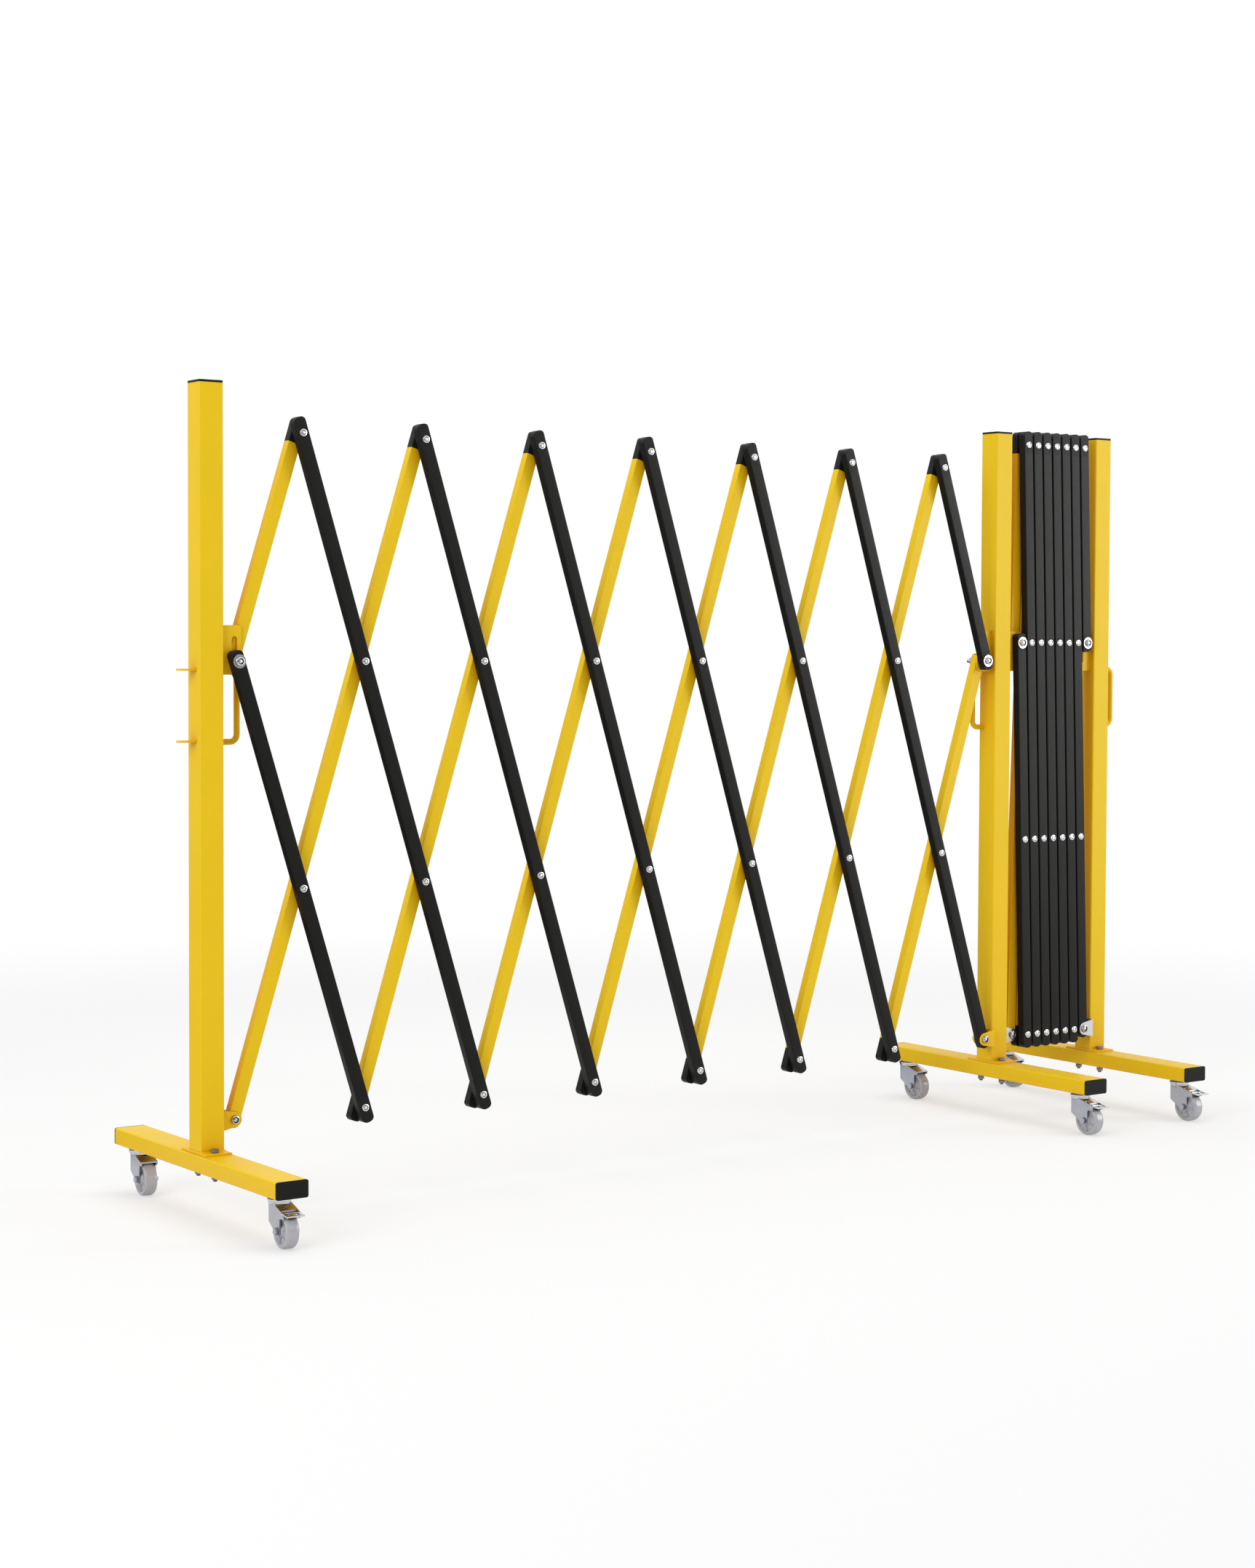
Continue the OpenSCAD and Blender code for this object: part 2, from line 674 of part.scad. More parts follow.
// A braked fork carries the pedal's pin in a longer front corner, and its crown stops behind the pedal
module fork(braked) {
    front = braked ? pedal_pin_out + pedal_pin_d : fork_front;
    front_z = pedal_pin_z - 2 * pedal_pin_d / (braked ? 1 : 2);
    crown_front = braked ? pedal_pin_out - pedal_pin_d - pedal_t : front + cut;
    crown_low = crown_z - fork_t - crown_drop * (crown_front - race_d / 4) / (front - race_d / 4);
    color(ZINC) {
        difference() {
            union() {
                difference() {
                    intersection() {
                        side_on(0, 2 * fork_out) polygon(leg_outline(front, front_z));
                        channel(fork_out, fork_back, fork_bend, castor_h);
                    }
                    intersection() {
                        side_on(0, 2 * fork_in) polygon([
                            [fork_back, crown_z - fork_t], [-race_d / 4, crown_z - fork_t],
                            [-crown_front, crown_low], [-crown_front, crown_z + cut],
                            [-front - cut, crown_z + cut], [-front - cut, 0], [fork_back, 0]
                        ]);
                        channel(fork_in, fork_back - fork_t, fork_bend - fork_t, castor_h);
                    }
                }
                translate([0, 0, crown_z - fork_t / 2])
                    cylinder(d = race_d - fork_t, h = race_h / 2 + fork_t / 2);
                translate([0, 0, crown_z + race_h / 2]) cylinder(d = race_d, h = race_h / 2);
            }
            cylinder(d = stem_d + 2 * fit, h = castor_h);
            translate([0, -trail, wheel_d / 2])
                rod_x(axle_bolt_d + 2 * fit, -fork_out - cut, fork_out + cut);
            if (braked) translate([0, -pedal_pin_out, pedal_pin_z])
                rod_x(pedal_pin_d + 2 * fit, -fork_out - cut, fork_out + cut);
        }
        translate([0, -trail, wheel_d / 2]) axle();
    }
}

// Axle sleeve between the legs, and the bolt through it with its head and nut outside
module axle() {
    sleeve = hub_w / 2 + run_gap - seat;
    difference() {
        rod_x(axle_d, -sleeve, sleeve);
        rod_x(axle_bolt_d + 2 * fit, -hub_w, hub_w);
    }
    rod_x(axle_bolt_d, -fork_out - fork_t, fork_out + fork_t);
    rotate([0, 90, 0]) for (x = [-1, 1]) translate([0, 0, x * (fork_out + seat + fork_t)])
        cylinder(d = axle_d + fork_t, h = 2 * fork_t, center = true, $fn = 6);
}

// Half of the wheel's section as shares of its radius and of its half width, from the hub outwards
wheel_shares = [[0.4, 0.68], [0.72, 0.62], [0.78, 0.94], [0.88, 1], [0.96, 0.84], [1, 0.5]];

module wheel() {
    half = [for (p = wheel_shares) [p[0] * wheel_d / 2, p[1] * wheel_w / 2]];
    hub = [[axle_d / 2 + fit, hub_w / 2], [axle_d, hub_w / 2]];
    side = concat(hub, half);
    back = [for (i = [len(side) - 1 : -1 : 0]) [side[i][0], -side[i][1]]];
    color(GREY) translate([0, -trail, wheel_d / 2]) rotate([0, 90, 0])
        rotate_extrude() polygon(concat(side, back));
}

// Pressed brake pedal: a barrel round its pin, a tread plate with two windows, and a shoe over the wheel
module brake_pedal() {
    barrel_d = pedal_pin_d + 2;
    inside = 2 * (fork_in - run_gap);
    top = pedal_pin_z + barrel_d / 2;
    clear = pedal_pin_out + pedal_pin_d + run_gap + seat;
    shoe_low = pedal_pin_z - 2 * pedal_pin_d;
    window_w = pedal_w / 4;
    color(ZINC) translate([0, -pedal_pin_out, pedal_pin_z]) {
        rod_x(pedal_pin_d, -fork_out, fork_out);
        rod_x(barrel_d, -inside / 2, inside / 2);
    }
    color(ZINC) difference() {
        union() {
            side_on(0, inside) polygon([
                [-pedal_pin_out, top], [-pedal_pin_out, top - pedal_t],
                [-clear - cut, top - pedal_t], [-clear - cut, top]
            ]);
            side_on(0, pedal_w) polygon([
                [-clear, top], [-clear, top - pedal_t],
                [-pedal_tip, top - 2 * pedal_t], [-pedal_tip, top - pedal_t]
            ]);
            side_on(0, inside / 2) polygon([
                [-clear - pedal_t, top - pedal_t / 2], [-clear, top - pedal_t / 2], [-clear, shoe_low],
                [-clear - pedal_t, shoe_low]
            ]);
        }
        for (x = [-1, 1])
            translate([x * pedal_w / 5 - window_w / 2, -pedal_tip + 2 * pedal_t, top - barrel_d])
                cube([window_w, pedal_tip - clear - 4 * pedal_t, 2 * barrel_d]);
    }
}

// What is drawn

for (s = [0 : 1]) for (layer = [0 : 1]) for (k = [0 : bars_per_layer - 1])
    lattice_bar(s, layer, k);
for (p = [0 : 2]) {
    post(p);
    foot(p);
    caps(p);
    fixings(p);
}
for (p = [0 : 2]) for (e = [0 : 1]) {
    at_castor(p, e) fork(e == 0);
    at_castor(p, e) wheel();
}
for (p = [0 : 2])
    at_castor(p, 0) brake_pedal();
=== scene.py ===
"""Expandable safety barrier: looks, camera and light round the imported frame. Metres, +Z up."""
import math

import bmesh
import bpy
import numpy as np
from mathutils import Matrix, Vector

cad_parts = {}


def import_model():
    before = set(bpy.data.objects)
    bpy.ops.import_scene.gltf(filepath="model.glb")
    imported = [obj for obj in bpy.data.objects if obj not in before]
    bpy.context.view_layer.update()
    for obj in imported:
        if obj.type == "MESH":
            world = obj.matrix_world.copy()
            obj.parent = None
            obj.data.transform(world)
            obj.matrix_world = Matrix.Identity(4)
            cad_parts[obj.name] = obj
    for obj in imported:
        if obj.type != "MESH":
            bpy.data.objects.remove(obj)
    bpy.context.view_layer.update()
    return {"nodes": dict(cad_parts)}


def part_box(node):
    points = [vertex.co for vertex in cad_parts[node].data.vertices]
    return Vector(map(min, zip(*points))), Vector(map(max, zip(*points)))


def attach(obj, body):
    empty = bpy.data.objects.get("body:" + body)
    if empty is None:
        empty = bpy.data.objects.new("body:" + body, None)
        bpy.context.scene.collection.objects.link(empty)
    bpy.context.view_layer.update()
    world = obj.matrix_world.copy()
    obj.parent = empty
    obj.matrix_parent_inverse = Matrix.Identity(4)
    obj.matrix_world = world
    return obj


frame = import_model()
NODES = frame["nodes"]

POSTS = ("left", "middle", "right")
# Each span's posts, from left to right
SPANS = {"left": ("left", "middle"), "right": ("middle", "right")}
ALONG_Y = Vector((0, 1, 0))
UP = Vector((0, 0, 1))


def add_object(name, data):
    """Puts an object with this data into the scene."""
    obj = bpy.data.objects.new(name, data)
    bpy.context.scene.collection.objects.link(obj)
    return obj


def grey(value):
    return (value, value, value, 1.0)


# Camera, fitted to the lattice's pivots, the posts' corners and the feet

IMAGE_H = 2156
FOCAL_PX = 3714.5
SHIFT_PX = (-68.6, -42.4)
EYE = Vector((-2.67162, -3.44886, 0.82352))
AZIMUTH = math.radians(34.988)
PITCH = math.radians(2.287)
ROLL = math.radians(0.194)
SENSOR_MM = 36.0
VIEW_DEPTH = 60.0


def make_camera():
    flat = math.cos(PITCH)
    forward = Vector((math.sin(AZIMUTH) * flat, math.cos(AZIMUTH) * flat, -math.sin(PITCH)))
    level = Vector((math.cos(AZIMUTH), -math.sin(AZIMUTH), 0.0))
    upright = level.cross(forward)
    right = level * math.cos(ROLL) + upright * math.sin(ROLL)
    up = upright * math.cos(ROLL) - level * math.sin(ROLL)
    data = bpy.data.cameras.new("camera")
    data.sensor_fit = "AUTO"
    data.sensor_width = SENSOR_MM
    data.lens = FOCAL_PX / IMAGE_H * SENSOR_MM
    data.shift_x = -SHIFT_PX[0] / IMAGE_H
    data.shift_y = SHIFT_PX[1] / IMAGE_H
    data.clip_end = VIEW_DEPTH
    camera = add_object("camera", data)
    rows = Matrix((right, up, -forward)).transposed().to_4x4()
    camera.matrix_world = Matrix.Translation(EYE) @ rows
    bpy.context.scene.camera = camera


make_camera()


# Materials

# Noise values at which a colour has its darker and its lighter shade
SHADE_SPAN = (0.3, 0.7)
# Painted crevice shade: how open a place is when the painted shade is full, and when it is gone
CREVICE_SPAN = (0.25, 0.95)
CREVICE_RAYS = 6
CLOUD_DETAIL = 3.0
RELIEF_DETAIL = 2.0


def shader_of(material):
    return material.node_tree.nodes["Principled BSDF"]


def new_material(name, color, metallic=0.0, roughness=0.5, specular=0.5):
    material = bpy.data.materials.new(name)
    material.use_nodes = True
    shader = shader_of(material)
    shader.inputs["Base Color"].default_value = (*color, 1.0)
    shader.inputs["Metallic"].default_value = metallic
    shader.inputs["Roughness"].default_value = roughness
    shader.inputs["Specular IOR Level"].default_value = specular
    return material


def add_noise(material, scale, detail=CLOUD_DETAIL):
    tree = material.node_tree
    place = tree.nodes.new("ShaderNodeTexCoord")
    noise = tree.nodes.new("ShaderNodeTexNoise")
    noise.inputs["Scale"].default_value = scale
    noise.inputs["Detail"].default_value = detail
    tree.links.new(place.outputs["Object"], noise.inputs["Vector"])
    return noise.outputs["Fac"]


def vary_color(material, factor, darker, lighter):
    tree = material.node_tree
    ramp = tree.nodes.new("ShaderNodeValToRGB")
    for stop, position, color in zip(ramp.color_ramp.elements, SHADE_SPAN, (darker, lighter)):
        stop.position = position
        stop.color = (*color, 1.0)
    tree.links.new(factor, ramp.inputs["Fac"])
    tree.links.new(ramp.outputs["Color"], shader_of(material).inputs["Base Color"])


def vary_roughness(material, factor, low, high):
    tree = material.node_tree
    span = tree.nodes.new("ShaderNodeMapRange")
    span.inputs["To Min"].default_value = low
    span.inputs["To Max"].default_value = high
    tree.links.new(factor, span.inputs["Value"])
    tree.links.new(span.outputs["Result"], shader_of(material).inputs["Roughness"])


def add_bump(material, factor, strength, height):
    """Adds relief, on top of any that the material has already."""
    tree = material.node_tree
    normal = shader_of(material).inputs["Normal"]
    bump = tree.nodes.new("ShaderNodeBump")
    bump.inputs["Strength"].default_value = strength
    bump.inputs["Distance"].default_value = height
    tree.links.new(factor, bump.inputs["Height"])
    if normal.is_linked:
        tree.links.new(normal.links[0].from_socket, bump.inputs["Normal"])
    tree.links.new(bump.outputs["Normal"], normal)


def paint_crevice_shade(material, reach, shade_color):
    """Paints shade and bounced light into the colour: turns it towards the given shade colour where
    neighbouring surfaces close in.
    """
    tree = material.node_tree
    base = shader_of(material).inputs["Base Color"]
    color = base.links[0].from_socket
    crevice = tree.nodes.new("ShaderNodeAmbientOcclusion")
    crevice.samples = CREVICE_RAYS
    crevice.inputs["Distance"].default_value = reach
    ramp = tree.nodes.new("ShaderNodeMapRange")
    ramp.inputs["From Min"].default_value = CREVICE_SPAN[0]
    ramp.inputs["From Max"].default_value = CREVICE_SPAN[1]
    mix = tree.nodes.new("ShaderNodeMix")
    mix.data_type = "RGBA"
    mix.inputs["A"].default_value = (*shade_color, 1.0)
    tree.links.new(crevice.outputs["AO"], ramp.inputs["Value"])
    tree.links.new(ramp.outputs["Result"], mix.inputs["Factor"])
    tree.links.new(color, mix.inputs["B"])
    tree.links.new(mix.outputs["Result"], base)


def tint(color, share):
    return tuple(min(1.0, c * share) for c in color)


# A finish has the noise scales, per metre, of its clouds of colour, its sheen and its relief. Shades are
# shares of its colour, stray is how far its roughness goes either way, and height is the relief's.
PAINT = {
    "cloud": 9.0, "shades": (0.985, 1.015),
    "sheen": 60.0, "stray": (-0.03, 0.03),
    "relief": 420.0, "height": 0.0003,
}
MOULDED = {
    "cloud": 40.0, "shades": (0.95, 1.05),
    "sheen": 150.0, "stray": (-0.04, 0.04),
    "relief": 1800.0, "height": 0.0001,
}
PLATED = {
    "cloud": 90.0, "shades": (0.94, 1.04),
    "sheen": 220.0, "stray": (-0.04, 0.05),
    "relief": 700.0, "height": 0.00005,
}
# The paint's finer grain, over its orange peel
GRAIN_SCALE = 2600.0
GRAIN_DETAIL = 1.0
GRAIN_SHARE = 0.5
GRAIN_HEIGHT = 0.0001
# Painted shade on plating: how near surfaces have to be to darken it, and how dark it gets
PLATED_REACH = 0.0028
PLATED_SHADE_SHARE = 0.08


def finished(name, finish, color, roughness, relief, metallic=0.0, specular=0.5):
    """A material whose colour, roughness and relief vary as its finish says."""
    material = new_material(name, color, metallic, roughness, specular)
    darker, lighter = finish["shades"]
    smoother, rougher = finish["stray"]
    vary_color(material, add_noise(material, finish["cloud"]), tint(color, darker), tint(color, lighter))
    vary_roughness(material, add_noise(material, finish["sheen"]), roughness + smoother, roughness + rougher)
    add_bump(material, add_noise(material, finish["relief"], RELIEF_DETAIL), relief, finish["height"])
    return material


def powder_coat(name, color, roughness, relief, specular):
    """Satin paint baked over steel: even colour, a fine orange peel and a slightly cloudy sheen."""
    material = finished(name, PAINT, color, roughness, relief, specular=specular)
    add_bump(material, add_noise(material, GRAIN_SCALE, GRAIN_DETAIL), relief * GRAIN_SHARE, GRAIN_HEIGHT)
    return material


def moulded(name, color, roughness, relief, specular):
    """Moulded plastic or rubber with a fine grain."""
    return finished(name, MOULDED, color, roughness, relief, specular=specular)


def plated(name, color, roughness, relief):
    """Zinc plating, with painted shade in its narrow gaps, such as where a rivet's head meets its washer."""
    material = finished(name, PLATED, color, roughness, relief, metallic=1.0)
    paint_crevice_shade(material, PLATED_REACH, tint(color, PLATED_SHADE_SHARE))
    return material


YELLOW = (0.76, 0.505, 0.006)
SHADED_YELLOW = (0.72, 0.34, 0.0015)
YELLOW_SHADE_REACH = 0.15
PAINT_BLACK = (0.0085, 0.0083, 0.0076)
PLASTIC_BLACK = (0.0095, 0.0095, 0.009)
SHOE_BLACK = (0.012, 0.012, 0.012)
WHEEL_GREY = (0.40, 0.40, 0.43)

# The yellow has painted shade and bounced light: it turns darker and orange where surfaces close in
yellow_paint = powder_coat("yellow_powder_coat", YELLOW, roughness=0.42, relief=0.06, specular=0.16)
paint_crevice_shade(yellow_paint, YELLOW_SHADE_REACH, SHADED_YELLOW)
black_paint = powder_coat("black_powder_coat", PAINT_BLACK, roughness=0.38, relief=0.10, specular=0.11)
black_plastic = moulded("black_moulding", PLASTIC_BLACK, roughness=0.42, relief=0.15, specular=0.11)
satin_zinc = plated("satin_zinc", (0.44, 0.46, 0.51), roughness=0.30, relief=0.04)
bright_zinc = plated("bright_zinc", (0.62, 0.625, 0.64), roughness=0.16, relief=0.03)
rivet_zinc = plated("rivet_zinc", (0.74, 0.745, 0.75), roughness=0.24, relief=0.03)
bolt_zinc = plated("bolt_zinc", (0.56, 0.565, 0.58), roughness=0.24, relief=0.05)
# Darker zinc for what sits under the foot: painted shade
under_foot_shaded_zinc = plated("under_foot_shaded_zinc", (0.20, 0.195, 0.185), roughness=0.42, relief=0.06)
# Plain black for the faces of the shoe under the pedal
black_pedal_shoe = moulded("black_pedal_shoe", SHOE_BLACK, roughness=0.6, relief=0.2, specular=0.2)
grey_tread = moulded("grey_tread", WHEEL_GREY, roughness=0.24, relief=0.03, specular=0.5)
grey_hub = moulded("grey_hub", WHEEL_GREY, roughness=0.34, relief=0.05, specular=0.4)


# Sizes and places of the part that the looks need, from the frame where a node's box gives them

# All feet share their heights and depth, and a post's middle is its foot's
FOOT_FROM, FOOT_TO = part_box("middle_foot")
POST_X = {post: sum(corner.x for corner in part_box(post + "_foot")) / 2 for post in POSTS}
POST_Y = (FOOT_FROM.y + FOOT_TO.y) / 2
POST_HALF = 0.019
LATTICE_Y = POST_Y - 0.008
FLANGE_TOP = FOOT_TO.z + 0.003
FLANGE_BOLT_OUT = 0.026
HANDLE_Y = LATTICE_Y + 0.021
HANDLE_LEGS = (0.683, 0.784)
HANDLE_R = 0.0045
TAB_LEGS = (0.685, 0.787)
TAB_HALF = 0.0015
# The lattice: its lowest pivots' height, the distance between a bar's pivots, and each span's lean at rest
ROW_HEIGHT = 0.139
PIVOT_PITCH = 0.346
LEAN = {"left": math.radians(17.5), "right": math.radians(1.9)}
# The slide brackets' plates, and the bolts that run in their slots two pivots up
PLATE_HALF = 0.0011
PIVOT_OUT = 0.022
SLIDE_HEIGHT = {span: ROW_HEIGHT + 2 * PIVOT_PITCH * math.cos(lean) for span, lean in LEAN.items()}
SLIDE_NUT_BACK = LATTICE_Y + 0.0243
SLIDE_BOLT_R = 0.004
FLANGE_BOLT_R = 0.003
WHEEL_R = 0.025
# The left post's castors are turned a little, as in the photo
CASTOR_TURN = {"left": math.radians(-5), "middle": 0.0, "right": 0.0}
# Each brake pedal's pin
PIN_Y = {"left": -0.24318, "middle": -0.24327, "right": -0.24327}


# Each node's materials, by its solids or by its faces

SAME_POINT_DIGITS = 6


def island_boxes(mesh):
    """Gives each polygon's solid, and each solid's low and high corners."""
    count = len(mesh.vertices)
    points = np.empty(count * 3)
    mesh.vertices.foreach_get("co", points)
    points = points.reshape(-1, 3)
    _, same = np.unique(np.round(points, SAME_POINT_DIGITS), axis=0, return_inverse=True)
    same = same.reshape(-1)
    parent = list(range(int(same.max()) + 1))

    def root(i):
        while parent[i] != i:
            parent[i] = parent[parent[i]]
            i = parent[i]
        return i

    for polygon in mesh.polygons:
        ids = [root(same[v]) for v in polygon.vertices]
        for other in ids[1:]:
            parent[root(other)] = root(ids[0])
    owner = [root(same[polygon.vertices[0]]) for polygon in mesh.polygons]
    vertex_owner = np.array([root(s) for s in same])
    boxes = {}
    for solid in set(owner):
        corners = points[vertex_owner == solid]
        boxes[solid] = (corners.min(0), corners.max(0))
    return owner, boxes


def set_materials(obj, materials, choice=None):
    """Sets a node's materials, with choice giving each face's place in the list."""
    mesh = obj.data
    mesh.materials.clear()
    for material in materials:
        mesh.materials.append(material)
    if choice:
        mesh.polygons.foreach_set("material_index", choice)
        mesh.update()


def sort_solids(obj, materials, pick):
    """Sets a node's materials, with pick(low, high) giving each solid's place in the list."""
    owner, boxes = island_boxes(obj.data)
    choice = {solid: pick(low, high) for solid, (low, high) in boxes.items()}
    set_materials(obj, materials, [choice[solid] for solid in owner])


def sort_faces(obj, materials, pick):
    """Sets a node's materials, with pick(centre, normal) giving each face's place in the list."""
    set_materials(obj, materials, [pick(face.center, face.normal) for face in obj.data.polygons])


# A bar's solids, as places in its list of materials
TUBE, CAP, RIVET, BOLT = range(4)
# Upright lengths: a tube's shortest, and an end cap's
TUBE_MIN = 0.3
CAP_LEN = (0.028, 0.075)
# What counts as a rivet: its head's width, how round it is seen along Y, and its length
HEAD_D = (0.0095, 0.0145)
ROUND_WITHIN = 0.0004
SHANK_MIN = 0.02


def is_rivet(size):
    return HEAD_D[0] < size[0] < HEAD_D[1] and abs(size[0] - size[2]) < ROUND_WITHIN and size[1] > SHANK_MIN


def bar_piece(low, high):
    size = high - low
    if size[2] > TUBE_MIN:
        return TUBE
    if is_rivet(size):
        return RIVET
    return CAP if CAP_LEN[0] < size[2] < CAP_LEN[1] else BOLT


# Below this, a solid reaches under the foot
UNDER_FOOT = FOOT_FROM.z - 0.0002


def fixing_piece(low, _high):
    """0 for bolts, washers and nuts, 1 for what hangs under the foot, which gets the darker zinc as painted
    shade.
    """
    return 1 if low[2] < UNDER_FOOT else 0


# The fork's ball race is bright zinc. The faces of its top that turn upwards take the same bright zinc as a
# painted highlight, and its legs are satin
CROWN_LOW = 0.050
CROWN_FACES_UP = 0.3
RACE_LOW = 0.0605


def fork_highlight_face(centre, normal):
    return 1 if centre.z > RACE_LOW or (centre.z > CROWN_LOW and normal.z > CROWN_FACES_UP) else 0


# The faces of the brake's shoe under the pedal, this far in front of the pedal's pin and below this height,
# are made black
SHOE_OUT = (0.0033, 0.0053)
SHOE_TOP = 0.0506


def pedal_face(centre, _normal):
    post = min(POSTS, key=lambda name: abs(POST_X[name] - centre.x))
    out = PIN_Y[post] - centre.y
    return 1 if SHOE_OUT[0] < out < SHOE_OUT[1] and centre.z < SHOE_TOP else 0


# The gap that a seam may have, the angle from which an edge is rounded, and in how many steps
SEAM_GAP = 0.000002
ROUNDED_FROM = math.radians(28)
EDGE_STEPS = 2
# Normals follow the largest faces fully
WEIGHT_BY_AREA = 100


def soften(obj, width):
    """Closes the node's seams, rounds its sharp edges and shades it smooth."""
    mesh = obj.data
    mesh.polygons.foreach_set("use_smooth", [True] * len(mesh.polygons))
    weld = obj.modifiers.new("close_seams", "WELD")
    weld.merge_threshold = SEAM_GAP
    bevel = obj.modifiers.new("round_edges", "BEVEL")
    bevel.width = width
    bevel.segments = EDGE_STEPS
    bevel.limit_method = "ANGLE"
    bevel.angle_limit = ROUNDED_FROM
    bevel.use_clamp_overlap = True
    normals = obj.modifiers.new("flat_faces", "WEIGHTED_NORMAL")
    normals.weight = WEIGHT_BY_AREA
    normals.keep_sharp = False


# Widths of the rounded edges
BAR_EDGE = 0.0004
FRAME_EDGE = 0.0005
CAP_EDGE = 0.0008
CASTOR_EDGE = 0.0006
SMALL_EDGE = 0.0003

for name, obj in NODES.items():
    if "_bar_" in name:
        paint = black_paint if "_black_" in name else yellow_paint
        sort_solids(obj, [paint, black_plastic, rivet_zinc, bolt_zinc], bar_piece)
        soften(obj, BAR_EDGE)
    elif name.endswith(("_post", "_foot")):
        set_materials(obj, [yellow_paint])
        soften(obj, FRAME_EDGE)
    elif name.endswith("_caps"):
        set_materials(obj, [black_plastic])
        soften(obj, CAP_EDGE)
    elif name.endswith("_wheel"):
        set_materials(obj, [grey_tread])
        soften(obj, CASTOR_EDGE)
    elif name.endswith("_fork"):
        # Upward faces of the fork's top are bright zinc as a painted highlight
        sort_faces(obj, [satin_zinc, bright_zinc], fork_highlight_face)
        soften(obj, CASTOR_EDGE)
    elif name.endswith("_fixings"):
        sort_solids(obj, [bolt_zinc, under_foot_shaded_zinc], fixing_piece)
        soften(obj, SMALL_EDGE)
    else:
        sort_faces(obj, [bright_zinc, black_pedal_shoe], pedal_face)
        soften(obj, SMALL_EDGE)


# Detail pieces: weld beads, threads, lock nuts and wheel ribs

def new_piece(name, vertices, faces, material, body, slot, smooth=True):
    mesh = bpy.data.meshes.new(name)
    mesh.from_pydata(vertices, [], faces)
    mesh.validate()
    mesh.materials.append(material)
    mesh.polygons.foreach_set("use_smooth", [smooth] * len(mesh.polygons))
    obj = add_object(name, mesh)
    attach(obj, body)


def merged(parts):
    """Several parts' vertices and faces as one part's."""
    vertices, faces = [], []
    for more, joins in parts:
        faces += [tuple(v + len(vertices) for v in face) for face in joins]
        vertices += more
    return vertices, faces


def turns(count):
    """Angles of a full turn, in equal steps."""
    return [2 * math.pi * i / count for i in range(count)]


def joined_rings(rings, sides, closed):
    """Faces from each ring of points to the next one, and from the last to the first where it is closed."""
    faces = []
    for i in range(rings if closed else rings - 1):
        a = i * sides
        b = (i + 1) % rings * sides
        for j in range(sides):
            k = (j + 1) % sides
            faces.append((a + j, a + k, b + k, b + j))
    return faces


# Weld beads

# The step between a bead's rings, the sides of a ring, and the share by which rings swell and shrink in turn
BEAD_STEP = 0.0014
BEAD_SIDES = 8
RIPPLE = 0.13
# The rise of an upright seam, whose rings can't be turned by the vertical
UPRIGHT = 0.9


def spaced(points, closed):
    """Points BEAD_STEP apart along a polyline."""
    path = [Vector(p) for p in points]
    if closed:
        path.append(path[0])
    found = []
    for start, end in zip(path, path[1:]):
        steps = max(1, round((end - start).length / BEAD_STEP))
        found += [start.lerp(end, i / steps) for i in range(steps)]
    return found if closed else found + [path[-1]]


def bead(points, radius, closed=False):
    """A weld bead's vertices and faces: a rippled tube that is laid along the points."""
    path = spaced(points, closed)
    count = len(path)
    vertices, faces = [], []
    for i, point in enumerate(path):
        before = path[i - 1] if closed or i else point
        after = path[(i + 1) % count] if closed or i + 1 < count else point
        along = (after - before).normalized()
        side = (along.cross(UP) if abs(along.z) < UPRIGHT else along.orthogonal()).normalized()
        other = along.cross(side)
        swell = radius * (1 + RIPPLE * (1 if i % 2 else -1))
        vertices += [point + (side * math.cos(t) + other * math.sin(t)) * swell for t in turns(BEAD_SIDES)]
    for i in range(count if closed else count - 1):
        a = i * BEAD_SIDES
        b = (i + 1) % count * BEAD_SIDES
        for j in range(BEAD_SIDES):
            k = (j + 1) % BEAD_SIDES
            faces.append((a + j, b + j, b + k, a + k))
    if not closed:
        faces.append(tuple(range(BEAD_SIDES - 1, -1, -1)))
        faces.append(tuple(range((count - 1) * BEAD_SIDES, count * BEAD_SIDES)))
    return vertices, faces


def square(x, y, z, half, corner):
    """A level square with clipped corners."""
    reach = half - corner
    found = []
    for sx, sy in ((1, 1), (-1, 1), (-1, -1), (1, -1)):
        pair = [(x + sx * half, y + sy * reach, z), (x + sx * reach, y + sy * half, z)]
        found += pair if sx == sy else pair[::-1]
    return found


RING_STEPS = 24


def ring_x(x, y, z, radius):
    """A ring round an axis along X."""
    return [(x, y + radius * math.cos(t), z + radius * math.sin(t)) for t in turns(RING_STEPS)]


# The beads' radii, and how far their middles stand off the walls that they join
FLANGE_BEAD = 0.0015
BRACKET_BEAD = 0.0012
TAB_BEAD = 0.0011
BEAD_OFF = 0.0003
ROUND_BEAD_OFF = 0.0004
# The flange's bead runs round the post's corners, and the straight beads have these ends
POST_CORNER = 0.003
BRACKET_SEAM = (0.7835, 0.8475)
TAB_SEAM_HALF = 0.0075


def flange_bead(post):
    path = square(POST_X[post], POST_Y, FLANGE_TOP, POST_HALF + ROUND_BEAD_OFF, POST_CORNER)
    return bead(path, FLANGE_BEAD, closed=True)


def handle_beads(post):
    side = -1 if post == "middle" else 1
    face = POST_X[post] + side * (POST_HALF + BEAD_OFF)
    rings = [ring_x(face, HANDLE_Y, z, HANDLE_R + ROUND_BEAD_OFF) for z in HANDLE_LEGS]
    return [bead(ring, BRACKET_BEAD, closed=True) for ring in rings]


def bracket_beads(post, side):
    """The two beads of the slide bracket on a post's right side (1) or left side (-1)."""
    face = POST_X[post] + side * POST_HALF
    beads = []
    for back in (-1, 1):
        y = LATTICE_Y + back * (PLATE_HALF + BEAD_OFF)
        beads.append(bead([(face, y, z) for z in BRACKET_SEAM], BRACKET_BEAD))
    return beads


